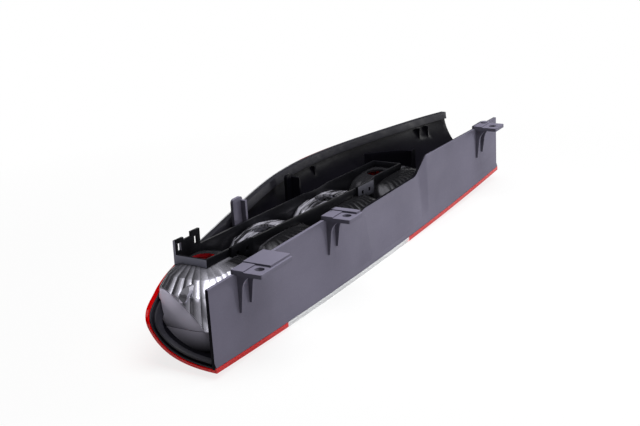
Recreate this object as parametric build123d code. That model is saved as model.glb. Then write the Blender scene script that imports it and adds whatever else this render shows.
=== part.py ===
"""Rear lamp cluster of an estate car or van, lying lens down, without its bulb carrier.

Millimetres. X runs along the flat side wall from the lower end of the lamp to the upper end,
Y from that wall across to the curved side, Z from the lens up to the rear of the lamp.
"""

import functools
import math
import os

from build123d import *

# Whole lamp
LENGTH = 495.0  # along the flat side wall
REAR_HEIGHT = 55.0  # rear edge above the foot of the wall
NEAR_WIDTH = 60.5  # across the lamp at its lower end
PEAK_WIDTH = 106.5  # across the lamp at its widest
PEAK_X = 290.0  # where it is widest
FAR_WIDTH = 62.0  # across the lamp at its upper end
BOW_NEAR = 1.45  # how the side bows out from the lower end to the widest place
BOW_FAR = 1.55  # how it comes in again to the upper end
KEEL_NEAR = -4.8  # height of the lens edge under the wall: lower end, lowest place, upper end
KEEL_LOW = -9.0
KEEL_LOW_X = 150.0
KEEL_FAR = -0.5
NEAR_FULLNESS = 0.74  # how square the section is at the lower end, easing to an ellipse at the widest place
SECTION_RISE = 2.0  # the section's side stands upright from this far above the rear edge
SECTION_STEPS = 3  # sections drawn on each side of the widest place

# Rear edge of the lens and the shell, seen from the side
END_EDGE_HEIGHT = 18.0  # where the edge leaves the square lower end
CORNER_RISE = 11.0  # length of its straight start before it rounds over
CORNER_EASE = 0.25
SHOULDER_X = 27.0  # where the rounding ends
SHOULDER_HEIGHT = 32.0
RISE_X = 72.0  # handle of the slow rise that follows
RISE_HEIGHT = 46.0
LEVEL_X = 300.0  # from here on the edge is level

# Lens
LENS_WALL = 2.0
LENS_FOOT = 3.5  # height of its thicker edge under the wall
LENS_LIP = 1.2  # how far the lens edge stands out past the wall
RED_CLEAR_X = 90.0  # joint between the lower red and the clear lens
CLEAR_RED_X = 290.0  # joint between the clear and the upper red lens
SEAT_GAP = 0.3  # clearance between mouldings that seat on each other

# Housing
SHELL_WALL = 2.5
EDGE_BAND = 6.2  # strip along the rear edge that the gaskets take up
WINDOW_MARGIN = 4.0  # windows in the shell, this far inside the foot of each bowl
WINDOW_CORNER = 18.0
WINDOW_TOP = 30.0
END_WALL_TOP = 20.0
WALL = 2.5  # flat side wall
WALL_TOP_NEAR = 54.5
WALL_TOP_FAR = 57.5
WALL_TOP_END = 54.0
NOTCH_TOP = 42.4  # cut-down stretch of the wall between the middle and the far tab
NOTCH_SLOPE_X0 = 174.0
NOTCH_X0 = 206.0
NOTCH_X1 = 312.0
NOTCH_RISE_X1 = 334.0
RAMP_FOOT_SLOPE = 0.1  # climb out of the notch
RAMP_HEAD_SLOPE = 0.3
POCKET_DEPTH = 4.0  # the wall leans in over the notch
POCKET_SIDE = 14.0
POCKET_START = 2.0  # the lean begins this far under the foot of the wall
FLARE_HEIGHT = 3.5  # foot of the wall, flared out to the lens edge

# Screw tabs
TAB_TOP = 57.0
TAB_WALL = 3.0
TAB_REACH = 22.0
TAB_CORNER = 1.5
TAB_X = (30.0, 150.5, LENGTH - 55.0)
TAB_LENGTH = (40.0, 21.0, 21.0)
HOLE_RADIUS = 3.5
HOLE_INSET = 9.5
HOLE_REACH = 14.5
PAD_RISE = 1.6
PAD_START = 15.0
PAD_MARGIN = 2.0
STEP_WIDTH = 7.5  # raised strip of a tab along the wall
STEP_RISE = 0.8
BOSS_RADIUS = 3.2
BOSS_RISE = 2.0
BOSS_INSET = 16.5
RIB_WALL = 2.0
RIB_INSET = 3.0
RIB_PITCH = 12.7
RIB_FOOT = 25.7
RIB_FOOT_STEP = 3.0
RIB_REACH = 13.0
RIB_WAIST = 3.6
RIB_WAIST_DROP = 11.0
RIB_HOLLOW = 7.2  # middle of the hollow edge: out from the wall, down from the tab
RIB_HOLLOW_DROP = 3.3
RIB_TOE = 1.6

# Uprights, ribs and the partition inside the shell
UPRIGHT_X = (138.0, 233.0)  # guide blade and locating post
UPRIGHT_GAP = (4.6, 7.6)  # clear of the gasket
UPRIGHT_TOP = (66.0, 58.0)
UPRIGHT_LENGTH = (13.0, 10.0)
UPRIGHT_WEB = (6.6, 10.5)
UPRIGHT_WALL = 2.5
UPRIGHT_ROUND = 3.0
CLIP_RIB_X = (299.0, LENGTH - 41.0, LENGTH - 29.0)  # ribs up the inside of the curved side
CLIP_RIB_WALL = 2.0
CLIP_RIB_REACH = 5.0
CLIP_RIB_DROP = 8.0
PARTITION_WALL = 2.0
PARTITION_TOP = 43.5
PARTITION_GAP = 0.7  # clearance round the last bowl
PARTITION_BEND = 13.0  # from its middle back to where it turns along the lamp
PARTITION_LEAD = 10.5  # from that turn to its free end
PARTITION_SPREAD = 12.0
PARTITION_END_Y = 42.0
PARTITION_RETURN = 8.0

# Reflector
REFLECTOR_WALL = 2.0
BOWL_ENDS = (12.0, 97.5, 188.0, 284.0, 384.0)
BULB_X = (65.0, 142.0, 235.0, 325.0)
BULB_HOLE_RADIUS = 9.5
BOWL_Y0 = 5.0
BOWL_Y1 = 68.5
BOWL_FOOT = -14.0
BOWL_RING_X = 14.0
BOWL_RING_Y = 11.8
DOME_PROFILE = ((0, 0), (0.55, 0.06), (0.82, 0.24), (0.95, 0.55), (1, 1))  # height, closing in
FLUTES = 28
FLUTE_RISE = 1.7
APRON_Z = 40.0  # smooth apron on the lower end, below a plane that falls with X and climbs with Y
APRON_FALL = 3.0
APRON_CLIMB = 1.25
SILL_X = 42.0  # the lower end of that bowl stands on a sill of the housing up to here
SILL_TOP = 15.2
NUB_X = 45.0  # oval nub on the fluted end
NUB_Y = 36.0
NUB_Z = 37.6
NUB_HEIGHT = 9.0
NUB_WIDTH = 6.6
NUB_RISE = 0.8
SQUARENESS = 3.8

# Bulb-holder frame
FRAME_X = 49.6
FRAME_Y = 37.0
FRAME_RIM = 52.7
FRAME_LENGTH = 294.5
FRAME_WIDTH = 29.0
FRAME_WALL = 2.0
FRAME_DEPTH = 18.0
FRAME_TILT = 1.69
FRAME_SKEW = 1.05
FRAME_ABOVE_BOWL = 5.2
JOG_DEPTH = 2.6
JOG_X0 = 178.0
JOG_X1 = 192.0
JOG_X2 = 212.0
NEAR_SPREAD = 5.0  # how far the near wall spreads out before its own jog
NEAR_JOG_X0 = 231.0
NEAR_JOG_X1 = 245.0
HOOP_WALL = 2.0  # clip hoops: two slotted ears with a bar between, and two drilled plates
HOOP_ROOT = 2.0
EAR_WIDTH = 10.0
EAR_TOP = (10.5, 12.0)
EAR_SLOT_INSET = 3.2
EAR_SLOT_WIDTH = 3.6
EAR_SLOT_FOOT = 1.5
EAR_SLOT_HEIGHT = 6.0
BAR_WIDTH = 9.0
BAR_TOP = 8.5
PLATE_X = (26.0, 203.0)
PLATE_WIDTH = 27.0
PLATE_TOP = 1.5
PLATE_FOOT = -10.0
PLATE_HOLE = 3.2
PLATE_HOLE_FOOT = -6.3
PLATE_HOLE_INSET = 6.0
STRUT_WIDTH = 3.0

# Gaskets
GASKET_WALL = 5.0
GASKET_PROUD = 1.0
GASKET_SPLIT_X = 95.0  # plain strip beyond this place, channel before it
LIP_WALL = 1.3
LIP_GROOVE = 2.4
LIP_INNER = 1.3
LIP_FLOOR = 2.0
LIP_SETBACK = 0.8

SHELL_INSET = LENS_WALL + SEAT_GAP
SHELL_INNER = SHELL_INSET + SHELL_WALL
REFLECTOR_INSET = SHELL_INNER + SEAT_GAP
LIP_INSET = SHELL_INSET + LIP_WALL + LIP_GROOVE + LIP_INNER
PAST = 200.0  # reach of the trimming blocks, past every piece
FAR = 2 * PAST  # reach of the trimming plates, past those blocks


def half_width(x):
    """Distance of the curved side from the wall plane at a place along the lamp."""
    if x <= PEAK_X:
        return PEAK_WIDTH - (PEAK_WIDTH - NEAR_WIDTH) * (1 - x / PEAK_X) ** BOW_NEAR
    return PEAK_WIDTH - (PEAK_WIDTH - FAR_WIDTH) * ((x - PEAK_X) / (LENGTH - PEAK_X)) ** BOW_FAR


def keel(x):
    """Height of the lens edge under the wall: a parabola through its three named heights."""
    near = KEEL_NEAR * (x - KEEL_LOW_X) * (x - LENGTH) / (KEEL_LOW_X * LENGTH)
    low = KEEL_LOW * x * (x - LENGTH) / (KEEL_LOW_X * (KEEL_LOW_X - LENGTH))
    far = KEEL_FAR * x * (x - KEEL_LOW_X) / (LENGTH * (LENGTH - KEEL_LOW_X))
    return near + low + far


def stations():
    """Places along the lamp where its section is drawn."""
    near = [PEAK_X * i / SECTION_STEPS for i in range(SECTION_STEPS)]
    far = [PEAK_X + (LENGTH - PEAK_X) * i / SECTION_STEPS for i in range(SECTION_STEPS + 1)]
    return near + far


@functools.cache
def hull(inset):
    """Everything inside the lens surface moved in by inset, open past the wall and the rear."""
    ellipse = 4 / 3 * (math.sqrt(2) - 1)
    sections = []
    top = REAR_HEIGHT + SECTION_RISE
    for x in stations():
        side = half_width(x) - inset
        foot = keel(x) + inset
        fullness = ellipse + (NEAR_FULLNESS - ellipse) * max(0, 1 - x / PEAK_X)
        arch = Bezier(
            (x, 0, foot),
            (x, fullness * side, foot),
            (x, side, top - fullness * (top - foot)),
            (x, side, top),
        )
        back = Polyline(
            (x, side, top),
            (x, side, 2 * REAR_HEIGHT),
            (x, -REAR_HEIGHT, 2 * REAR_HEIGHT),
            (x, -REAR_HEIGHT, foot),
            (x, 0, foot),
        )
        sections.append(make_face([arch] + back.edges()))
    return loft(sections)


def block(x, y, z):
    """Box between pairs of coordinates."""
    size = (x[1] - x[0], y[1] - y[0], z[1] - z[0])
    centre = ((x[0] + x[1]) / 2, (y[0] + y[1]) / 2, (z[0] + z[1]) / 2)
    return Pos(*centre) * Box(*size)


def side_plate(outline, y0, y1):
    """Plate between two Y planes from an outline drawn in X and Z."""
    face = Plane.XZ * make_face(outline)
    return Pos(0, y0, 0) * extrude(face, y1 - y0, dir=(0, 1, 0))


def edge_line(drop):
    """Rear edge of the lamp seen from the side, moved in by drop and carried on past both ends."""
    start = Vector(drop, END_EDGE_HEIGHT - drop)
    shoulder = Vector(SHOULDER_X + drop, SHOULDER_HEIGHT - drop)
    rise = Vector(RISE_X + drop, RISE_HEIGHT - drop)
    level = Vector(LEVEL_X + drop, REAR_HEIGHT - drop)
    corner_out = start + Vector(0, CORNER_RISE)
    corner_in = shoulder - (rise - shoulder) * CORNER_EASE
    ease = Vector((RISE_X + LEVEL_X) / 2 + drop, level.Y)
    corner = Bezier(start, corner_out, corner_in, shoulder)
    sweep_up = Bezier(shoulder, rise, ease, level)
    return [Line((drop, -FAR), start), corner, sweep_up, Line(level, (LENGTH + FAR, level.Y))]


def below_edge(drop):
    """Block under the rear edge of the lamp, with the edge moved in by drop."""
    rest = Polyline((LENGTH + FAR, REAR_HEIGHT - drop), (LENGTH + FAR, -FAR), (drop, -FAR))
    return side_plate(edge_line(drop) + rest.edges(), -FAR, FAR)


def edge_strip(start, end):
    """Band along the rear edge between two distances in from it."""
    foot = Line((start, -FAR), (end, -FAR))
    head = Line((LENGTH + FAR, REAR_HEIGHT - start), (LENGTH + FAR, REAR_HEIGHT - end))
    return side_plate(edge_line(start) + edge_line(end) + [foot, head], -FAR, FAR)


def lens():
    """One-piece lens in three shots of colour, cut by colour."""
    skin = (hull(0) - hull(LENS_WALL)) & below_edge(0)
    lip = block((0, LENGTH), (-LENS_LIP, -SEAT_GAP), (-PAST, PAST)) & hull(0)
    skin += lip - hull(LENS_FOOT)
    bounds = (0, RED_CLEAR_X, CLEAR_RED_X, LENGTH)
    shots = []
    for x0, x1 in zip(bounds, bounds[1:]):
        shots.append(skin & block((x0, x1), (-LENS_LIP, PAST), (-PAST, PAST)))
    return shots


def shell():
    """Curved side of the housing, following the lens, with a window under each bowl."""
    skin = below_edge(EDGE_BAND) & block((0, LENGTH), (0, PAST), (-PAST, PAST))
    skin -= hull(SHELL_INNER)
    for i in range(len(BULB_X)):
        middle, half_x, half_y = bowl_foot(i)
        size = (2 * (half_x - WINDOW_MARGIN), 2 * (half_y - WINDOW_MARGIN))
        window = Pos(middle.X, middle.Y, -PAST) * RectangleRounded(*size, WINDOW_CORNER)
        skin -= extrude(window, PAST + WINDOW_TOP)
    return skin + block((LENGTH - SHELL_WALL, LENGTH), (0, PAST), (-PAST, END_WALL_TOP))


def side_wall():
    """Flat wall with its cut-down, leaning middle and its flared foot."""
    foot = -REAR_HEIGHT
    slopes = [(1, RAMP_FOOT_SLOPE), (1, RAMP_HEAD_SLOPE)]
    ramp = Spline((NOTCH_X1, NOTCH_TOP), (NOTCH_RISE_X1, WALL_TOP_FAR), tangents=slopes)
    upper = Polyline(
        (NOTCH_RISE_X1, WALL_TOP_FAR),
        (LENGTH, WALL_TOP_END),
        (LENGTH, foot),
        (0, foot),
        (0, WALL_TOP_NEAR),
        (NOTCH_SLOPE_X0, WALL_TOP_NEAR),
        (NOTCH_X0, NOTCH_TOP),
        (NOTCH_X1, NOTCH_TOP),
    )
    outline = [ramp] + upper.edges()
    wall = side_plate(outline, 0, WALL)
    wall += side_plate(outline, 0, WALL + POCKET_DEPTH) & pocket(WALL)
    wall -= pocket(0)
    return wall + flare()


def pocket(y):
    """Wedge that leans in from the foot of the wall to the notch, with sloping ends."""
    sections = []
    for z, depth in ((-POCKET_START, 0), (WALL_TOP_FAR, POCKET_DEPTH)):
        corners = [
            (NOTCH_X0, y - WALL, z),
            (NOTCH_X0, y, z),
            (NOTCH_X0 + POCKET_SIDE, y + depth, z),
            (NOTCH_RISE_X1 - POCKET_SIDE, y + depth, z),
            (NOTCH_RISE_X1, y, z),
            (NOTCH_RISE_X1, y - WALL, z),
        ]
        sections.append(make_face(Polyline(*corners, close=True)))
    return loft(sections, ruled=True)


def flare():
    """Foot of the wall, sloping out over the lens edge."""
    sections = []
    for x in stations():
        foot = keel(x) + LENS_FOOT + SEAT_GAP
        corners = [
            (x, WALL / 2, foot),
            (x, -LENS_LIP, foot),
            (x, 0, foot + FLARE_HEIGHT),
            (x, WALL / 2, foot + FLARE_HEIGHT),
        ]
        sections.append(make_face(Polyline(*corners, close=True)))
    return loft(sections)


def rib(x, foot):
    """Gusset under a tab, with a hollow outer edge."""
    top = TAB_TOP - TAB_WALL
    waist = (-RIB_WAIST, top - RIB_WAIST_DROP)
    hollow = ThreePointArc((-RIB_REACH, top), (-RIB_HOLLOW, top - RIB_HOLLOW_DROP), waist)
    rest = Polyline(waist, (-RIB_TOE, foot), (WALL, foot), (WALL, top), (-RIB_REACH, top))
    face = Plane.YZ * make_face([hollow] + rest.edges())
    return Pos(x, 0, 0) * extrude(face, RIB_WALL)


def tab(x, length):
    """Screw tab with its hole and two gussets."""
    plate = block((x, x + length), (-TAB_REACH, WALL), (TAB_TOP - TAB_WALL, TAB_TOP))
    corners = plate.edges().filter_by(Axis.Z).group_by(Axis.Y)[0]
    plate = fillet(corners, TAB_CORNER)
    plate += block((x, x + length), (-STEP_WIDTH, WALL), (TAB_TOP - TAB_WALL, TAB_TOP + STEP_RISE))
    plate -= Pos(x + HOLE_INSET, -HOLE_REACH, TAB_TOP) * Cylinder(HOLE_RADIUS, PAST)
    for i in range(2):
        plate += rib(x + RIB_INSET + i * RIB_PITCH, RIB_FOOT + i * RIB_FOOT_STEP)
    return plate


def tabs():
    """The three tabs: a long one with a raised pad, a short one with a strip, one with a boss."""
    made = [tab(x, length) for x, length in zip(TAB_X, TAB_LENGTH)]
    for i in range(2):
        pad_x = (TAB_X[i] + PAD_START, TAB_X[i] + TAB_LENGTH[i])
        made[i] += block(pad_x, (PAD_MARGIN - TAB_REACH, WALL), (TAB_TOP - TAB_WALL, TAB_TOP + PAD_RISE))
    boss = Cylinder(BOSS_RADIUS, BOSS_RISE + TAB_WALL, align=(Align.CENTER, Align.CENTER, Align.MIN))
    made[2] += Pos(TAB_X[2] + BOSS_INSET, -BOSS_RADIUS, TAB_TOP - TAB_WALL) * boss
    return made


def upright(i):
    """Blade along the lamp with a rounded top and a web across its upper end."""
    x0 = UPRIGHT_X[i]
    x1 = x0 + UPRIGHT_LENGTH[i]
    back = half_width(x0) - SHELL_INSET - GASKET_WALL - UPRIGHT_GAP[i]
    top = UPRIGHT_TOP[i]
    blade = block((x0, x1), (back - UPRIGHT_WALL, back), (-REAR_HEIGHT, top))
    blade = fillet(blade.edges().filter_by(Axis.Y).group_by(Axis.Z)[-1], UPRIGHT_ROUND)
    web_z = (-REAR_HEIGHT, top - UPRIGHT_ROUND)
    return blade + block((x1 - UPRIGHT_WALL, x1), (back - UPRIGHT_WEB[i], back), web_z)


def clip_rib(x):
    """Rib up the inside of the curved side."""
    y = half_width(x) - SHELL_INNER - CLIP_RIB_REACH
    return block((x, x + CLIP_RIB_WALL), (y, PAST), (-REAR_HEIGHT, REAR_HEIGHT - CLIP_RIB_DROP))


def partition():
    """Upright wall bent round the far end of the last bowl, turned along the lamp at its free end."""
    middle_x = BOWL_ENDS[-1] + FLUTE_RISE + PARTITION_GAP + PARTITION_WALL / 2
    turn_x = middle_x - PARTITION_BEND
    line = Spline(
        (turn_x - PARTITION_LEAD, BOWL_Y1 + PARTITION_SPREAD),
        (turn_x, BOWL_Y1),
        (middle_x, (BOWL_Y0 + BOWL_Y1) / 2 + PARTITION_SPREAD),
        (middle_x, PARTITION_END_Y),
    )
    wall = Pos(0, 0, -REAR_HEIGHT) * extrude(trace(line, PARTITION_WALL), REAR_HEIGHT + PARTITION_TOP)
    end_x = (middle_x - PARTITION_WALL / 2, middle_x + PARTITION_RETURN)
    end_y = (PARTITION_END_Y, PARTITION_END_Y + PARTITION_WALL)
    return wall + block(end_x, end_y, (-REAR_HEIGHT, PARTITION_TOP))


def sill_block(gap):
    """Space at the lower end that the sill takes up, grown by a gap."""
    return block((-PAST, SILL_X + gap), (-PAST, PAST), (-PAST, SILL_TOP + gap))


def sill():
    """Wall on the shell that carries the lower end of the first bowl."""
    return (bowl(0, 0, "smooth") - bowl(0, -REFLECTOR_WALL, "smooth")) & sill_block(0)


def rear_housing():
    """Black housing moulded in one: shell, flat wall, tabs, uprights, ribs, partition and sill."""
    mould = shell() + side_wall() + partition() + sill()
    for piece in tabs() + [upright(0), upright(1)] + [clip_rib(x) for x in CLIP_RIB_X]:
        mould += piece
    return mould & hull(SHELL_INSET)


def flute_angles(half_x, half_y):
    """Parameters that space the flutes evenly round a bowl's section."""
    steps = 720
    points = [bowl_point(half_x, half_y, 2 * math.pi * i / steps) for i in range(steps + 1)]
    run = [0.0]
    for a, b in zip(points, points[1:]):
        run.append(run[-1] + math.dist(a, b))
    angles = []
    i = 0
    for k in range(FLUTES):
        while run[i + 1] < run[-1] * k / FLUTES:
            i += 1
        angles.append(2 * math.pi * i / steps)
    return angles


def bowl_point(half_x, half_y, angle):
    """Point of a rounded oblong about the origin."""
    c = math.cos(angle)
    s = math.sin(angle)
    power = 2 / SQUARENESS
    return (half_x * math.copysign(abs(c) ** power, c), half_y * math.copysign(abs(s) ** power, s))


def bowl_foot(i):
    """Middle and half sizes of a bowl's foot, where it shares a wall with its neighbours."""
    x0 = BOWL_ENDS[i] - (REFLECTOR_WALL / 2 if i else 0)
    x1 = BOWL_ENDS[i + 1] + (REFLECTOR_WALL / 2 if i < 3 else 0)
    return Vector((x0 + x1) / 2, (BOWL_Y0 + BOWL_Y1) / 2, BOWL_FOOT), (x1 - x0) / 2, (BOWL_Y1 - BOWL_Y0) / 2


@functools.cache
def bowl(i, grow, finish):
    """Dome of one bowl with fluted, faceted or smooth sides, its surface moved out by grow."""
    ring = bulb_place(i)
    foot, foot_x, foot_y = bowl_foot(i)
    foot_half = (foot_x + grow, foot_y + grow)
    ring_half = (BOWL_RING_X + grow, BOWL_RING_Y + grow)
    angles = flute_angles(*foot_half)
    sections = []
    for height, closing in DOME_PROFILE:
        half_x = foot_half[0] + (ring_half[0] - foot_half[0]) * closing
        half_y = foot_half[1] + (ring_half[1] - foot_half[1]) * closing
        centre = foot + (ring - foot) * closing
        centre.Z = BOWL_FOOT + (ring.Z + grow - BOWL_FOOT) * height
        corners = [centre + Vector(*bowl_point(half_x, half_y, a)) for a in angles]
        sections.append(make_face(bowl_rim(corners, FLUTE_RISE * half_x / foot_half[0], finish)))
    return loft(sections, ruled=True)


def bowl_rim(corners, rise, finish):
    """Closed outline through the corners of a bowl's section."""
    if finish == "smooth":
        return [Spline(*corners, periodic=True)]
    pairs = zip(corners, corners[1:] + corners[:1])
    if finish == "facets":
        return [Line(p, q) for p, q in pairs]
    rim = []
    for p, q in pairs:
        outward = (q - p).normalized().cross(Vector(0, 0, 1))
        rim.append(ThreePointArc(p, (p + q) / 2 + outward * rise, q))
    return rim


def near_bowl():
    """Lower-end bowl: fluted, with an oval nub and a smooth apron below a slanting line."""
    slant = Plane(origin=(0, 0, APRON_Z), z_dir=(APRON_FALL, -APRON_CLIMB, 1))
    apron = slant * Box(FAR, FAR, FAR, align=(Align.CENTER, Align.CENTER, Align.MAX))
    end = Plane(origin=(0, NUB_Y, NUB_Z), x_dir=(0, 0, 1), z_dir=(1, 0, 0))
    nub = extrude(end * SlotOverall(NUB_HEIGHT, NUB_WIDTH), NUB_X)
    nub &= bowl(0, FLUTE_RISE + NUB_RISE, "smooth")
    return (bowl(0, 0, "flutes") - apron) + (bowl(0, 0, "smooth") & apron) + nub


def reflector():
    """Metallised reflector: four fluted bowls in a row, each with a bulb hole at its top."""
    body = near_bowl()
    for i in range(1, 4):
        body += bowl(i, 0, "flutes")
    for i in range(4):
        body -= bowl(i, -REFLECTOR_WALL, "facets")
        body -= Pos(bulb_place(i)) * Cylinder(BULB_HOLE_RADIUS, PAST)
    return body & reflector_room()


def reflector_room():
    """Space inside the shell, clear of the rubber channel and the sill at the lower end."""
    channel = gasket_band((-PAST, GASKET_SPLIT_X), 0, LIP_INSET + SEAT_GAP, 0, EDGE_BAND)
    return hull(REFLECTOR_INSET) - channel - sill_block(SEAT_GAP)


def frame_place():
    """Where the bulb-holder frame stands: its near corner, tilted and skewed."""
    return Pos(FRAME_X, FRAME_Y, FRAME_RIM) * Rot(0, FRAME_TILT, -FRAME_SKEW)


def bulb_place(i):
    """Centre of a bulb hole, midway between the long walls of the frame."""
    return (frame_place() * Pos(BULB_X[i] - FRAME_X, FRAME_WIDTH / 2, -FRAME_ABOVE_BOWL)).position


def near_wall(x):
    """Outer face of the frame's near wall before its jog."""
    return -NEAR_SPREAD * x / NEAR_JOG_X0


def frame_outline(inset):
    """Plan of the frame with a jog in each long wall."""
    far = FRAME_WIDTH - inset
    return Polyline(
        (inset, inset),
        (NEAR_JOG_X0, near_wall(NEAR_JOG_X0) + inset),
        (NEAR_JOG_X1, inset),
        (FRAME_LENGTH - inset, inset),
        (FRAME_LENGTH - inset, far),
        (JOG_X2, far),
        (JOG_X1, far - JOG_DEPTH),
        (JOG_X0, far - JOG_DEPTH),
        (JOG_X0 - 2 * JOG_DEPTH, far),
        (inset, far),
        close=True,
    )


def ears():
    """Hoop on the far wall: two slotted ears with a bar between them."""
    y = (FRAME_WIDTH - HOOP_WALL, FRAME_WIDTH)
    bar = block((0, 2 * EAR_WIDTH + BAR_WIDTH), y, (-HOOP_ROOT, BAR_TOP))
    for x, top in zip((0, EAR_WIDTH + BAR_WIDTH), EAR_TOP):
        bar += block((x, x + EAR_WIDTH), y, (-HOOP_ROOT, top))
        slot = (x + EAR_SLOT_INSET, x + EAR_SLOT_INSET + EAR_SLOT_WIDTH)
        bar -= block(slot, (0, PAST), (EAR_SLOT_FOOT, EAR_SLOT_FOOT + EAR_SLOT_HEIGHT))
    return bar


def clip_plate(x):
    """Plate on the near wall with a square hole near each end and a strut down its near edge."""
    y = (near_wall(x + PLATE_WIDTH) - HOOP_WALL, near_wall(x))
    plate = block((x, x + PLATE_WIDTH), y, (PLATE_FOOT, PLATE_TOP))
    hole_z = (PLATE_HOLE_FOOT, PLATE_HOLE_FOOT + PLATE_HOLE)
    for hole in (x + PLATE_HOLE_INSET, x + PLATE_WIDTH - PLATE_HOLE_INSET - PLATE_HOLE):
        plate -= block((hole, hole + PLATE_HOLE), (-PAST, PAST), hole_z)
    return plate + block((x, x + STRUT_WIDTH), y, (-FRAME_DEPTH, PLATE_TOP))


def bulb_holder_frame():
    """Frame round the bowl tops that the bulb carrier clips into, with three clip hoops."""
    wall = make_face(frame_outline(0)) - make_face(frame_outline(FRAME_WALL))
    frame = Pos(0, 0, -FRAME_DEPTH) * extrude(wall, FRAME_DEPTH) + ears()
    for x in PLATE_X:
        frame += clip_plate(x)
    frame = frame_place() * frame
    for i in range(4):
        frame -= bowl(i, SEAT_GAP, "flutes")
    return frame - gasket_band((-PAST, GASKET_SPLIT_X), 0, LIP_INSET + SEAT_GAP, 0, PAST)


def gasket_band(span, inset, depth, start, end):
    """Strip along a span of the rear edge between two insets, start to end in from the edge."""
    strip = edge_strip(start, end) & block(span, (WALL + SEAT_GAP, PAST), (-PAST, PAST))
    return (strip & hull(inset)) - hull(depth)


def side_gasket():
    """Rubber strip along the level rear edge of the shell."""
    span = (GASKET_SPLIT_X, LENGTH)
    return gasket_band(span, SHELL_INSET, SHELL_INSET + GASKET_WALL, -GASKET_PROUD, EDGE_BAND - SEAT_GAP)


def end_gasket():
    """Rubber channel round the lower end: an outer lip, a groove and an inner lip."""
    span = (0, GASKET_SPLIT_X - SEAT_GAP)
    groove = SHELL_INSET + LIP_WALL
    base = EDGE_BAND - SEAT_GAP
    rubber = gasket_band(span, SHELL_INSET, LIP_INSET, LIP_SETBACK, base)
    return rubber - gasket_band((-PAST, GASKET_SPLIT_X), groove, groove + LIP_GROOVE, 0, base - LIP_FLOOR)


ORIGIN = Vector(TAB_X[1] + HOLE_INSET, -HOLE_REACH, TAB_TOP)  # middle screw hole, on the tab's face


def main():
    """Build every piece and write it with the middle screw hole at the origin."""
    lower, middle, upper = lens()
    pieces = {
        "lens_lower_red": lower,
        "lens_middle_clear": middle,
        "lens_upper_red": upper,
        "rear_housing": rear_housing(),
        "reflector": reflector(),
        "bulb_holder_frame": bulb_holder_frame(),
        "side_gasket": side_gasket(),
        "end_gasket": end_gasket(),
    }
    os.makedirs("parts", exist_ok=True)
    for name, piece in pieces.items():
        export_step(Pos(-ORIGIN) * piece, f"parts/{name}.step")


main()
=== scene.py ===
"""Looks for a tail light cluster lying lens down: finishes with painted light, shade and reflections, edge
softening and a pale studio.
"""

import math

import bpy
from mathutils import Matrix, Vector


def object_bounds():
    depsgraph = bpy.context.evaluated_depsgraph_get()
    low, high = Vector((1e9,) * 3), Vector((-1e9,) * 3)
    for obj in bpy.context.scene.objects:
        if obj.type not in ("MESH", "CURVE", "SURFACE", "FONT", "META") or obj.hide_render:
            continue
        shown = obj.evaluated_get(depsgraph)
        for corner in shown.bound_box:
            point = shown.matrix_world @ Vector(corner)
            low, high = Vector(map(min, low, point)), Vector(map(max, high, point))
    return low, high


bl_info = {
    "name": "Tail Light Cluster",
    "version": (1, 0, 0),
    "blender": (4, 5, 0),
    "location": "3D View > Sidebar > Tail Light",
    "description": "Dresses the packed tail light cluster and sets up its studio",
    "category": "Object",
}

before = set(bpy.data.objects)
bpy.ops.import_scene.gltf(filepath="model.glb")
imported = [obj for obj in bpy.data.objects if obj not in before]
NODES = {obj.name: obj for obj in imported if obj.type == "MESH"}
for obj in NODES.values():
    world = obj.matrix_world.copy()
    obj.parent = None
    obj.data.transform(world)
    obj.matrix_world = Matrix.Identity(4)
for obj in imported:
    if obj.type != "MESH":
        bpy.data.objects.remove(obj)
CAD_BOX = [list(corner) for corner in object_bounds()]


class TailLightFinish(bpy.types.PropertyGroup):
    """Colours and surface sizes of the lamp, some colours with painted light, shade and reflection."""

    housing_colour: bpy.props.FloatVectorProperty(
        name="Housing", description="Black plastic of the housing, lit side",
        subtype="COLOR", size=3, min=0, max=1, default=(0.126, 0.119, 0.16),
    )
    # Painted shade: the same plastic inside the shell, given a much darker colour in place of the shade
    # that falls there.
    housing_in_shade: bpy.props.FloatVectorProperty(
        name="Housing inside", description="The same plastic inside the shell",
        subtype="COLOR", size=3, min=0, max=1, default=(0.003, 0.0028, 0.0045),
    )
    frame_colour: bpy.props.FloatVectorProperty(
        name="Bulb frame", description="Black plastic of the bulb-holder frame",
        subtype="COLOR", size=3, min=0, max=1, default=(0.006, 0.006, 0.0075),
    )
    metal_colour: bpy.props.FloatVectorProperty(
        name="Reflector", description="Bright metallised skin of the bowls",
        subtype="COLOR", size=3, min=0, max=1, default=(0.87, 0.855, 0.98),
    )
    apron_colour: bpy.props.FloatVectorProperty(
        name="Apron", description="Satin skin of the smooth apron on the lower bowl",
        subtype="COLOR", size=3, min=0, max=1, default=(0.6, 0.57, 0.69),
    )
    red_colour: bpy.props.FloatVectorProperty(
        name="Red lens", description="Red shots of the lens",
        subtype="COLOR", size=3, min=0, max=1, default=(0.75, 0.001, 0.002),
    )
    clear_colour: bpy.props.FloatVectorProperty(
        name="Clear lens", description="Clear shot of the lens",
        subtype="COLOR", size=3, min=0, max=1, default=(0.93, 0.94, 0.95),
    )
    # Painted reflection: the inside of the lower bowl is coloured red where it would mirror the red lens.
    painted_red_reflection: bpy.props.FloatVectorProperty(
        name="Painted red reflection", description="Metallised inside of the lower bowl, tinted by the red lens under it",
        subtype="COLOR", size=3, min=0, max=1, default=(0.95, 0.03, 0.05),
    )
    gasket_colour: bpy.props.FloatVectorProperty(
        name="Gasket", description="Rubber of the seals",
        subtype="COLOR", size=3, min=0, max=1, default=(0.012, 0.0115, 0.017),
    )
    grain: bpy.props.FloatProperty(
        name="Grain", description="Spacing of the moulded grain",
        subtype="DISTANCE", unit="LENGTH", min=0.0001, max=0.01, default=0.0008,
    )
    edge_round: bpy.props.FloatProperty(
        name="Edge rounding", description="Radius on the moulded edges",
        subtype="DISTANCE", unit="LENGTH", min=0.0, max=0.002, default=0.00035,
    )


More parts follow.
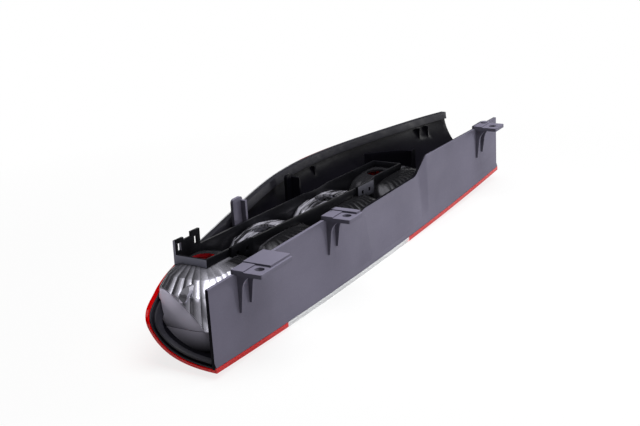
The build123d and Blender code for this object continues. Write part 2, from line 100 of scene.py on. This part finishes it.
class TailLightStudio(bpy.types.PropertyGroup):
    """Camera and light."""

    focal_length: bpy.props.FloatProperty(
        name="Focal length", description="Focal length on a 36 mm sensor",
        subtype="DISTANCE_CAMERA", unit="CAMERA", min=10, max=300, default=63.35,
    )
    key_power: bpy.props.FloatProperty(
        name="Key light", description="Power of the large soft light overhead",
        subtype="POWER", unit="POWER", min=0, max=1000, default=12.0,
    )
    side_power: bpy.props.FloatProperty(
        name="Side light", description="Power of the low light on the wall's side",
        subtype="POWER", unit="POWER", min=0, max=1000, default=7.0,
    )
    world_strength: bpy.props.FloatProperty(
        name="Surround", description="Strength of the white surround",
        min=0, max=5, default=0.4,
    )
    floor_colour: bpy.props.FloatVectorProperty(
        name="Floor", description="Pale floor",
        subtype="COLOR", size=3, min=0, max=1, default=(0.93, 0.93, 0.93),
    )


CAMERA_PLACE = Vector((-0.699538, -0.402001, 0.267414))
CAMERA_RIGHT = (0.50304, -0.86242, -0.05635)
CAMERA_UP = (0.29619, 0.11078, 0.94868)
CAMERA_BACK = (-0.81193, -0.49392, 0.31116)
SENSOR_WIDTH = 36.0  # millimetres
CLIP_START = 0.01

# Studio, metres and degrees; each light's place is measured from the lamp's middle, its height from zero
OVERHEAD_SIZE = 0.9
OVERHEAD_PLACE = (0.0, -0.2, 1.0)
SIDE_SIZE = 0.25
SIDE_PLACE = (1.0, -0.85, 0.06)
SCREEN_ARC = (-40, 230)
SCREEN_RADIUS = 2.0
SCREEN_HEIGHTS = (0.35, 2.2)
SCREEN_STEPS = 24
FLOOR_GAP = 0.0002
FLOOR_REACH = 6.0
FLOOR_PLAIN = (0.25, 0.6)  # from the lamp outwards, the floor's shadow gives way to plain white

# Where finishes and their painted light and shade change on the housing: start and end of each fade, metres
LOWER_END = CAD_BOX[0][0]
END_FACE_X = (LOWER_END + 0.0002, LOWER_END + 0.0012)  # end face of the flat wall, painted in shade
WALL_Y = (0.0150, 0.0168)  # back of the flat wall
LEAN_Y = (0.0195, 0.0205)  # back of the wall's leaning middle
BLADE_X = (0.0, 0.01)  # the guide blade stands below this along the lamp
BLADE_Z = (-0.013, -0.011)  # and above this
SILL_X = (-0.1185, -0.1175)  # upper limit of the sill under the lower bowl
SILL_Y = (0.0190, 0.0195)  # its side next to the flat wall
SILL_SHEEN_Z = (-0.056, -0.041)  # painted sheen: the sill is painted lighter upwards

# The same on the bulb-holder frame
FRAME_END_X = (-0.103, -0.1)  # its end wall over the lower bowl, painted light
PLATE_START_X = (0.0920, 0.0925)  # upper clip plate, painted light, along the lamp
PLATE_END_X = (0.1200, 0.1205)
PLATE_FOOT_Z = (-0.0215, -0.0205)
NEAR_SIDE_Y = (0.060, 0.062)  # the near long wall lies below this

# The same on the reflector
APRON_PLANE = (3.0, -1.25, 1.0)  # slope of the apron's upper line along X, Y and Z
APRON_OFFSET = 0.515125  # where that plane lies along the slope
APRON_LINE = (-APRON_OFFSET - 0.001, -APRON_OFFSET + 0.001)
APRON_Z = (-0.0415, -0.024)  # painted shade: the apron is painted darker downwards
BESIDE_X = (-0.105, -0.09)  # the shoulders beside the frame, painted dark as shade, begin here
BESIDE_Y = (0.047, 0.050)
INSIDE_X = (-0.1085, -0.1065)  # bowl tops inside the frame, which carry painted reflections and shade
INSIDE_Y = (0.050, 0.052)
INSIDE_Z = (-0.033, -0.031)
CROWN_Z = (-0.030, -0.021)  # painted light: the bowl tops are painted lighter upwards
FIRST_TOP_X = (-0.075, -0.06)  # flat top of the lower bowl, painted dark as shade
FIRST_TOP_Z = (-0.0185, -0.0178)
LAST_TOP_X = (0.120, 0.125)  # top of the last bowl, painted dark as shade
FIRST_BOWL = (-0.0949, 0.0657, 0.0)  # a point on the upright axis of the lower bowl
HOLLOW_REACH = (0.018, 0.021)  # its inside, out from that axis
HOLLOW_TURN = (-0.003, -0.001)  # how far its faces turn to that axis


def finish():
    """The finish settings of the scene."""
    return bpy.context.scene.tail_light_finish


def studio():
    """The studio settings of the scene."""
    return bpy.context.scene.tail_light_studio


def tone(colour, factor):
    """A darker or lighter tone of a colour."""
    return [min(1, c * factor) for c in colour]


class Wiring:
    """A material's node tree, with short ways to add and join nodes."""

    def __init__(self, name):
        self.material = bpy.data.materials.new(name)
        self.material.use_nodes = True
        self.tree = self.material.node_tree
        self.tree.nodes.clear()
        self.output = self.tree.nodes.new("ShaderNodeOutputMaterial")
        self.place = self.tree.nodes.new("ShaderNodeTexCoord").outputs["Object"]

    def node(self, kind, **values):
        """A new node: keys that name an input set or link it, others are attributes."""
        made = self.tree.nodes.new(kind)
        for key, value in values.items():
            label = key.replace("_", " ")
            if label in made.inputs:
                self.feed(made.inputs[label], value)
            else:
                setattr(made, key, value)
        return made

    def feed(self, socket, value):
        """Link a socket, or set a constant on it."""
        if isinstance(value, bpy.types.NodeSocket):
            self.tree.links.new(value, socket)
        elif hasattr(value, "__len__") and len(value) == 3 and len(socket.default_value) == 4:
            socket.default_value = (*value, 1.0)
        else:
            socket.default_value = value

    def axes(self):
        """The X, Y and Z of a point on the piece."""
        return tuple(self.node("ShaderNodeSeparateXYZ", Vector=self.place).outputs)

    def normal(self):
        """The direction that the surface faces."""
        return self.node("ShaderNodeNewGeometry").outputs["True Normal"]

    def noise(self, size, detail=2.0, rough=0.5, stretch=(1, 1, 1)):
        """Noise whose features are about size metres across."""
        grid = self.node("ShaderNodeMapping", Vector=self.place, Scale=stretch)
        made = self.node(
            "ShaderNodeTexNoise", Vector=grid.outputs[0], Scale=1 / size, Detail=detail, Roughness=rough,
        )
        return made.outputs[0]

    def spread(self, value, low, high, start=0.3, end=0.7):
        """Map start..end of a value to low..high."""
        made = self.node("ShaderNodeMapRange")
        limits = {"From Min": start, "From Max": end, "To Min": low, "To Max": high}
        for name, number in limits.items():
            made.inputs[name].default_value = number
        self.feed(made.inputs["Value"], value)
        return made.outputs["Result"]

    def rise(self, value, start, end):
        """A mask that goes from 0 at start to 1 at end."""
        return self.spread(value, 0.0, 1.0, start, end)

    def fall(self, value, start, end):
        """A mask that goes from 1 at start to 0 at end."""
        return self.spread(value, 1.0, 0.0, start, end)

    def facing(self, axis, start, end):
        """1 where the surface faces along an axis, fading to 0 away from it."""
        return self.rise(self.vector("DOT_PRODUCT", self.normal(), axis), start, end)

    def both(self, *masks):
        """Where all of some masks hold."""
        product = masks[0]
        for mask in masks[1:]:
            product = self.maths("MULTIPLY", product, mask)
        return product

    def blend(self, amount, one, other):
        """Mix two colours."""
        made = self.node("ShaderNodeMix", data_type="RGBA")
        self.feed(made.inputs[0], amount)
        self.feed(made.inputs[6], one)
        self.feed(made.inputs[7], other)
        return made.outputs[2]

    def mottle(self, noise, one, other):
        """Two colours mixed by a noise."""
        return self.blend(self.spread(noise, 0.0, 1.0), one, other)

    def maths(self, operation, one, other):
        """One step of arithmetic."""
        made = self.node("ShaderNodeMath", operation=operation)
        self.feed(made.inputs[0], one)
        self.feed(made.inputs[1], other)
        return made.outputs[0]

    def vector(self, operation, one, other=(0, 0, 0)):
        """One step of vector arithmetic."""
        made = self.node("ShaderNodeVectorMath", operation=operation)
        self.feed(made.inputs[0], one)
        self.feed(made.inputs[1], other)
        return made.outputs["Value" if operation in ("DOT_PRODUCT", "LENGTH") else "Vector"]

    def bump(self, height, strength, distance):
        """Bump from a height."""
        made = self.node("ShaderNodeBump", Height=height, Strength=strength, Distance=distance)
        return made.outputs[0]

    def skin(self, colour, rough, specular, **values):
        """Principled surface with a fixed specular level."""
        made = self.node("ShaderNodeBsdfPrincipled", Base_Color=colour, Roughness=rough, **values)
        made.inputs["Specular IOR Level"].default_value = specular
        return made

    def choose(self, amount, one, other):
        """Mix two shaders."""
        made = self.node("ShaderNodeMixShader")
        self.feed(made.inputs[0], amount)
        self.feed(made.inputs[1], one.outputs[0])
        self.feed(made.inputs[2], other.outputs[0])
        return made

    def shade(self, shader):
        """Use a shader as the surface."""
        self.tree.links.new(shader.outputs[0], self.output.inputs["Surface"])
        return self.material


def housing_plastic():
    """Black plastic: grained and dry on its outer faces and the blade, smoother inside; the outer faces are
    painted lit and the inside painted in shade.
    """
    w = Wiring("housing_plastic")
    f = finish()
    x, y, z = w.axes()
    # Painted light and shade: the wall's back, its leaning middle and the blade take the lit colour, all
    # other faces the much darker colour.
    leaning = w.both(w.facing((0, -1, 0), 0.3, 0.5), w.fall(y, *LEAN_Y))
    blade = w.both(w.rise(z, *BLADE_Z), w.fall(x, *BLADE_X))
    lit_outside = w.maths("MAXIMUM", w.maths("MAXIMUM", w.fall(y, *WALL_Y), leaning), blade)
    # Painted shade: faces turned to the lower end take the dark colour, fully on the wall's end face and
    # halfway elsewhere.
    turned = w.facing((-1, 0, 0), 0.6, 0.8)
    shaded = w.both(turned, w.spread(x, 1.0, 0.5, *END_FACE_X))
    lit_outside = w.both(lit_outside, w.maths("SUBTRACT", 1.0, shaded))
    patches = w.noise(0.05, 3.0)
    specks = w.noise(0.0011, 2.0, 0.7)
    lit = w.mottle(patches, tone(f.housing_colour, 0.9), tone(f.housing_colour, 1.08))
    lit = w.blend(w.spread(specks, 0.0, 0.22, 0.55, 0.75), lit, tone(f.housing_colour, 1.7))
    # Painted light: faces turned upwards are painted lighter.
    lit = w.blend(w.facing((0, 0, 1), 0.8, 0.95), lit, tone(f.housing_colour, 1.5))
    painted_dark = w.mottle(patches, f.housing_in_shade, tone(f.housing_in_shade, 1.6))
    # Lit colour on the outer faces, painted shade everywhere else.
    colour = w.blend(lit_outside, painted_dark, lit)
    # Painted sheen: the sill's face turned to the lower end is painted lighter upwards, towards a dim apron
    # colour.
    sill = w.both(w.fall(x, *SILL_X), w.rise(y, *SILL_Y), turned)
    painted_sheen = w.blend(w.rise(z, *SILL_SHEEN_Z), f.housing_in_shade, tone(f.apron_colour, 0.5))
    colour = w.blend(sill, colour, painted_sheen)
    grain = w.noise(f.grain, 3.0, 0.6)
    scuffs = w.noise(0.006, 4.0, 0.65, (0.15, 1, 1))
    rough = w.maths("ADD", w.spread(scuffs, -0.05, 0.09), w.spread(lit_outside, 0.34, 0.5, 0.0, 1.0))
    height = w.maths("ADD", grain, w.spread(scuffs, 0.0, 0.4, 0.6, 0.8))
    return w.shade(w.skin(colour, rough, 0.03, Normal=w.bump(height, 0.12, 0.0003)))


def frame_plastic():
    """Black plastic of the bulb-holder frame, with painted light on its end wall and upper clip plate."""
    w = Wiring("frame_plastic")
    f = finish()
    x, y, z = w.axes()
    patches = w.noise(0.02, 3.0)
    colour = w.mottle(patches, f.frame_colour, tone(f.frame_colour, 1.9))
    # Painted light: the end wall over the lower bowl is painted much lighter.
    end_wall_light = w.both(w.facing((-1, 0, 0), 0.6, 0.8), w.fall(x, *FRAME_END_X))
    colour = w.blend(end_wall_light, colour, tone(f.frame_colour, 36))
    # Painted light: the upper clip plate's face on the wall side is painted lighter.
    upper_plate_light = w.both(
        w.rise(x, *PLATE_START_X), w.fall(x, *PLATE_END_X), w.rise(z, *PLATE_FOOT_Z),
        w.facing((0, -1, 0), 0.6, 0.8), w.fall(y, *NEAR_SIDE_Y),
    )
    colour = w.blend(upper_plate_light, colour, tone(f.frame_colour, 12))
    grain = w.noise(f.grain * 1.4, 3.0, 0.6)
    rough = w.spread(patches, 0.28, 0.38)
    return w.shade(w.skin(colour, rough, 0.03, Normal=w.bump(grain, 0.08, 0.0003)))


def bowl_tops(w, x, z):
    """Colour of the bowls inside the frame: painted streaks of reflected light, painted lighter upwards,
    with the first and last tops painted dark as shade.
    """
    metal = finish().metal_colour
    painted_dark = tone(metal, 0.05)
    # Painted reflection: streaks of light along the bowl tops.
    streaks = w.spread(w.noise(0.0035, 2.0, 0.6, (0.15, 1, 0.15)), 0.0, 1.0, 0.42, 0.62)
    crown = w.blend(streaks, painted_dark, metal)
    crown = w.blend(w.rise(z, *CROWN_Z), tone(metal, 0.1), crown)
    # Painted shade: the flat top of the lower bowl and the top of the last bowl are dark.
    first = w.both(w.fall(x, *FIRST_TOP_X), w.rise(z, *FIRST_TOP_Z))
    return w.blend(w.maths("MAXIMUM", first, w.rise(x, *LAST_TOP_X)), crown, painted_dark)


def bowl_inside(w):
    """1 on the inside of the lower bowl, which gets a painted reflection of the red lens."""
    level = w.vector("MULTIPLY", w.vector("SUBTRACT", w.place, FIRST_BOWL), (1, 1, 0))
    turned = w.vector("DOT_PRODUCT", level, w.normal())
    return w.both(w.fall(turned, *HOLLOW_TURN), w.fall(w.vector("LENGTH", level), *HOLLOW_REACH))


def metallised():
    """Vapour-metallised plastic: bright flutes with painted shade on their faces turned away from the
    wall's side, a satin apron painted darker downwards, painted reflections on the bowl tops and inside the
    lower bowl, and painted shade on the shoulders beside the frame.
    """
    w = Wiring("metallised_plastic")
    f = finish()
    x, y, z = w.axes()
    apron = w.fall(w.vector("DOT_PRODUCT", w.place, APRON_PLANE), *APRON_LINE)
    beside = w.both(w.fall(y, *BESIDE_Y), w.rise(x, *BESIDE_X))
    inside_frame = w.both(w.rise(y, *INSIDE_Y), w.rise(x, *INSIDE_X), w.rise(z, *INSIDE_Z))
    haze = w.noise(0.018, 3.0)
    ripple = w.noise(0.004, 2.0)
    # Painted light and shade: faces turned towards the wall's side are bright metal, faces turned away are
    # painted dark.
    colour = w.blend(w.facing((0, -1, 0), -0.05, 0.6), tone(f.metal_colour, 0.12), f.metal_colour)
    # Painted reflection and shade on the bowl tops inside the frame.
    colour = w.blend(inside_frame, colour, bowl_tops(w, x, z))
    # Painted reflection of the red lens inside the lower bowl.
    colour = w.blend(bowl_inside(w), colour, f.painted_red_reflection)
    # Painted shade: the satin apron is painted darker downwards, to 40 % of its colour at its foot.
    satin = w.blend(w.spread(z, 0.4, 1.0, *APRON_Z), (0.0, 0.0, 0.0), f.apron_colour)
    colour = w.blend(apron, colour, satin)
    # Painted shade: the shoulders between the frame and the wall are painted nearly black.
    colour = w.blend(beside, colour, tone(f.metal_colour, 0.025))
    rough = w.maths("ADD", w.spread(haze, 0.2, 0.3), w.maths("MULTIPLY", apron, 0.25))
    metallic = w.spread(apron, 0.6, 0.35, 0.0, 1.0)
    return w.shade(w.skin(colour, rough, 0.15, Metallic=metallic, Normal=w.bump(ripple, 0.1, 0.0004)))


def lens_plastic(name, colour, glow, tint):
    """Moulded lens plastic: glossy, see-through, and letting tinted light on to the floor."""
    w = Wiring(name)
    flow = w.noise(0.03, 2.0)
    body = w.mottle(flow, tone(colour, 0.94), colour)
    skin = w.skin(body, w.spread(flow, 0.03, 0.07), 0.25)
    skin.inputs["IOR"].default_value = 1.49
    skin.inputs["Transmission Weight"].default_value = glow
    path = w.node("ShaderNodeLightPath")
    through = w.node("ShaderNodeBsdfTransparent", Color=tint)
    return w.shade(w.choose(path.outputs["Is Shadow Ray"], skin, through))


def gasket_rubber():
    """Dark rubber with a dry, slightly mottled skin."""
    w = Wiring("gasket_rubber")
    f = finish()
    patches = w.noise(0.012, 3.0)
    pores = w.noise(0.0012, 3.0, 0.7)
    colour = w.mottle(patches, tone(f.gasket_colour, 0.8), tone(f.gasket_colour, 1.3))
    rough = w.spread(patches, 0.5, 0.66)
    return w.shade(w.skin(colour, rough, 0.2, Normal=w.bump(pores, 0.2, 0.0004)))


def smoothing_group():
    """Geometry nodes that shade smooth up to an angle and drop the imported normals."""
    name = "smooth_by_angle"
    if name in bpy.data.node_groups:
        return bpy.data.node_groups[name]
    group = bpy.data.node_groups.new(name, "GeometryNodeTree")
    group.interface.new_socket("Geometry", in_out="INPUT", socket_type="NodeSocketGeometry")
    group.interface.new_socket("Geometry", in_out="OUTPUT", socket_type="NodeSocketGeometry")
    angle = group.interface.new_socket("Angle", in_out="INPUT", socket_type="NodeSocketFloat")
    angle.default_value = math.radians(35)
    start = group.nodes.new("NodeGroupInput")
    end = group.nodes.new("NodeGroupOutput")
    drop = group.nodes.new("GeometryNodeRemoveAttribute")
    drop.inputs["Name"].default_value = "custom_normal"
    faces = group.nodes.new("GeometryNodeSetShadeSmooth")
    faces.domain = "FACE"
    edges = group.nodes.new("GeometryNodeSetShadeSmooth")
    edges.domain = "EDGE"
    measure = group.nodes.new("GeometryNodeInputMeshEdgeAngle")
    test = group.nodes.new("FunctionNodeCompare")
    test.data_type = "FLOAT"
    test.operation = "LESS_EQUAL"
    link = group.links.new
    link(start.outputs["Geometry"], drop.inputs[0])
    link(drop.outputs[0], faces.inputs["Geometry"])
    link(faces.outputs[0], edges.inputs["Geometry"])
    link(measure.outputs["Unsigned Angle"], test.inputs[0])
    link(start.outputs["Angle"], test.inputs[1])
    link(test.outputs[0], edges.inputs["Shade Smooth"])
    link(edges.outputs[0], end.inputs["Geometry"])
    return group


def dress(node, material, rounded=0.0):
    """Give a moulded piece its finish, with its edges rounded and its curves shaded smooth."""
    if node not in NODES:
        raise RuntimeError(f"the frame has no piece named {node}")
    piece = NODES[node]
    piece.data.materials.clear()
    piece.data.materials.append(material)
    weld = piece.modifiers.new("weld", "WELD")
    weld.merge_threshold = 1e-5
    if rounded:
        bevel = piece.modifiers.new("edges", "BEVEL")
        bevel.width = rounded
        bevel.segments = 2
        bevel.limit_method = "ANGLE"
        bevel.angle_limit = math.radians(50)
    smooth = piece.modifiers.new("smooth", "NODES")
    smooth.node_group = smoothing_group()


class TAILLIGHT_OT_housing(bpy.types.Operator):
    """Finish the black housing"""

    bl_idname = "taillight.housing"
    bl_label = "Housing"

    def execute(self, context):
        dress("rear_housing", housing_plastic(), finish().edge_round)
        return {"FINISHED"}


class TAILLIGHT_OT_reflector(bpy.types.Operator):
    """Finish the metallised reflector"""

    bl_idname = "taillight.reflector"
    bl_label = "Reflector"

    def execute(self, context):
        dress("reflector", metallised())
        return {"FINISHED"}


class TAILLIGHT_OT_bulb_frame(bpy.types.Operator):
    """Finish the bulb-holder frame"""

    bl_idname = "taillight.bulb_frame"
    bl_label = "Bulb-holder frame"

    def execute(self, context):
        dress("bulb_holder_frame", frame_plastic(), finish().edge_round)
        return {"FINISHED"}


class TAILLIGHT_OT_lens(bpy.types.Operator):
    """Finish the red and clear shots of the lens"""

    bl_idname = "taillight.lens"
    bl_label = "Lens"

    def execute(self, context):
        red = lens_plastic("red_lens_plastic", finish().red_colour, 0.45, (1.0, 0.3, 0.36))
        clear = lens_plastic("clear_lens_plastic", finish().clear_colour, 0.5, (0.95, 0.95, 0.96))
        for node in ("lens_lower_red", "lens_upper_red"):
            dress(node, red)
        dress("lens_middle_clear", clear)
        return {"FINISHED"}


class TAILLIGHT_OT_gaskets(bpy.types.Operator):
    """Finish the side seal and the end channel"""

    bl_idname = "taillight.gaskets"
    bl_label = "Gaskets"

    def execute(self, context):
        rubber = gasket_rubber()
        for node in ("side_gasket", "end_gasket"):
            dress(node, rubber, finish().edge_round * 2)
        return {"FINISHED"}


def soft_light(name, power, size, place, target):
    """Square area light, placed out from its target and aimed at it."""
    data = bpy.data.lights.new(name, "AREA")
    data.energy = power
    data.size = size
    lamp = bpy.data.objects.new(name, data)
    lamp.location = (target[0] + place[0], target[1] + place[1], place[2])
    lamp.rotation_euler = (Vector(target) - lamp.location).to_track_quat("-Z", "Y").to_euler()
    bpy.context.scene.collection.objects.link(lamp)


def white_surround():
    """World that is white to the camera and a plain soft light to the lamp."""
    world = bpy.data.worlds.new("white_surround")
    bpy.context.scene.world = world
    world.use_nodes = True
    tree = world.node_tree
    tree.nodes.clear()
    path = tree.nodes.new("ShaderNodeLightPath")
    mirrored = tree.nodes.new("ShaderNodeMath")
    mirrored.operation = "MAXIMUM"
    seen = tree.nodes.new("ShaderNodeMath")
    seen.operation = "MAXIMUM"
    strength = tree.nodes.new("ShaderNodeMapRange")
    strength.inputs["To Min"].default_value = studio().world_strength
    strength.inputs["To Max"].default_value = 1.0
    background = tree.nodes.new("ShaderNodeBackground")
    background.inputs["Color"].default_value = (1, 1, 1, 1)
    output = tree.nodes.new("ShaderNodeOutputWorld")
    tree.links.new(path.outputs["Is Glossy Ray"], mirrored.inputs[0])
    tree.links.new(path.outputs["Is Transmission Ray"], mirrored.inputs[1])
    tree.links.new(path.outputs["Is Camera Ray"], seen.inputs[0])
    tree.links.new(mirrored.outputs[0], seen.inputs[1])
    tree.links.new(seen.outputs[0], strength.inputs["Value"])
    tree.links.new(strength.outputs["Result"], background.inputs["Strength"])
    tree.links.new(background.outputs[0], output.inputs["Surface"])


def pale_floor(height):
    """Large pale floor that keeps the soft shadow."""
    mesh = bpy.data.meshes.new("pale_floor")
    corners = [(-1, -1), (1, -1), (1, 1), (-1, 1)]
    mesh.from_pydata([(x * FLOOR_REACH, y * FLOOR_REACH, height) for x, y in corners], [], [(0, 1, 2, 3)])
    floor = bpy.data.objects.new("pale_floor", mesh)
    bpy.context.scene.collection.objects.link(floor)
    w = Wiring("pale_floor")
    colour = w.mottle(w.noise(0.6), studio().floor_colour, tone(studio().floor_colour, 0.99))
    matt = w.node("ShaderNodeBsdfDiffuse", Color=colour)
    glow = w.node("ShaderNodeEmission", Color=(1, 1, 1), Strength=1.0)
    path = w.node("ShaderNodeLightPath")
    plain = w.spread(w.vector("LENGTH", w.place), 0.8, 1.0, *FLOOR_PLAIN)
    seen = w.maths("MAXIMUM", path.outputs["Is Camera Ray"], path.outputs["Is Transmission Ray"])
    mesh.materials.append(w.shade(w.choose(w.both(seen, plain), matt, glow)))


def dark_screen(middle):
    """Curved black screen out of the picture, for the bright metal to mirror."""
    start, end = SCREEN_ARC
    corners = []
    for i in range(SCREEN_STEPS + 1):
        angle = math.radians(start + (end - start) * i / SCREEN_STEPS)
        x = middle[0] + SCREEN_RADIUS * math.cos(angle)
        y = middle[1] + SCREEN_RADIUS * math.sin(angle)
        corners += [(x, y, height) for height in SCREEN_HEIGHTS]
    faces = [(2 * i, 2 * i + 2, 2 * i + 3, 2 * i + 1) for i in range(SCREEN_STEPS)]
    mesh = bpy.data.meshes.new("dark_screen")
    mesh.from_pydata(corners, [], faces)
    screen = bpy.data.objects.new("dark_screen", mesh)
    screen.visible_camera = False
    bpy.context.scene.collection.objects.link(screen)
    w = Wiring("dark_screen")
    cloth = w.mottle(w.noise(0.2), (0.012, 0.012, 0.014), (0.02, 0.02, 0.024))
    mesh.materials.append(w.shade(w.node("ShaderNodeBsdfDiffuse", Color=cloth)))


class TAILLIGHT_OT_stage(bpy.types.Operator):
    """Set up the floor, the light and the camera"""

    bl_idname = "taillight.stage"
    bl_label = "Studio"

    def execute(self, context):
        scene = context.scene
        scene.view_settings.view_transform = "Standard"
        low, high = CAD_BOX
        middle = [(a + b) / 2 for a, b in zip(low, high)]
        white_surround()
        pale_floor(low[2] - FLOOR_GAP)
        dark_screen(middle)
        soft_light("overhead", studio().key_power, OVERHEAD_SIZE, OVERHEAD_PLACE, middle)
        soft_light("wall_side", studio().side_power, SIDE_SIZE, SIDE_PLACE, middle)
        data = bpy.data.cameras.new("camera")
        data.sensor_width = SENSOR_WIDTH
        data.lens = studio().focal_length
        data.clip_start = CLIP_START
        camera = bpy.data.objects.new("camera", data)
        turn = Matrix((CAMERA_RIGHT, CAMERA_UP, CAMERA_BACK)).transposed()
        camera.matrix_world = Matrix.Translation(CAMERA_PLACE) @ turn.to_4x4()
        scene.collection.objects.link(camera)
        scene.camera = camera
        return {"FINISHED"}


OPERATORS = (
    TAILLIGHT_OT_housing,
    TAILLIGHT_OT_reflector,
    TAILLIGHT_OT_bulb_frame,
    TAILLIGHT_OT_lens,
    TAILLIGHT_OT_gaskets,
    TAILLIGHT_OT_stage,
)


class TAILLIGHT_PT_panel(bpy.types.Panel):
    """Lists the steps and the settings"""

    bl_idname = "TAILLIGHT_PT_panel"
    bl_label = "Tail light"
    bl_space_type = "VIEW_3D"
    bl_region_type = "UI"
    bl_category = "Tail Light"

    def draw(self, context):
        for step in OPERATORS:
            self.layout.operator(step.bl_idname)
        for settings in (finish(), studio()):
            for name in settings.__annotations__:
                self.layout.prop(settings, name)


CLASSES = (TailLightFinish, TailLightStudio, *OPERATORS, TAILLIGHT_PT_panel)


def register():
    for made in CLASSES:
        bpy.utils.register_class(made)
    bpy.types.Scene.tail_light_finish = bpy.props.PointerProperty(type=TailLightFinish)
    bpy.types.Scene.tail_light_studio = bpy.props.PointerProperty(type=TailLightStudio)


def unregister():
    del bpy.types.Scene.tail_light_studio
    del bpy.types.Scene.tail_light_finish
    for made in reversed(CLASSES):
        bpy.utils.unregister_class(made)


def main():
    """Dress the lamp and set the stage."""
    register()
    bpy.ops.taillight.housing()
    bpy.ops.taillight.reflector()
    bpy.ops.taillight.bulb_frame()
    bpy.ops.taillight.lens()
    bpy.ops.taillight.gaskets()
    bpy.ops.taillight.stage()
    bpy.context.view_layer.update()


if __name__ == "__main__":
    main()
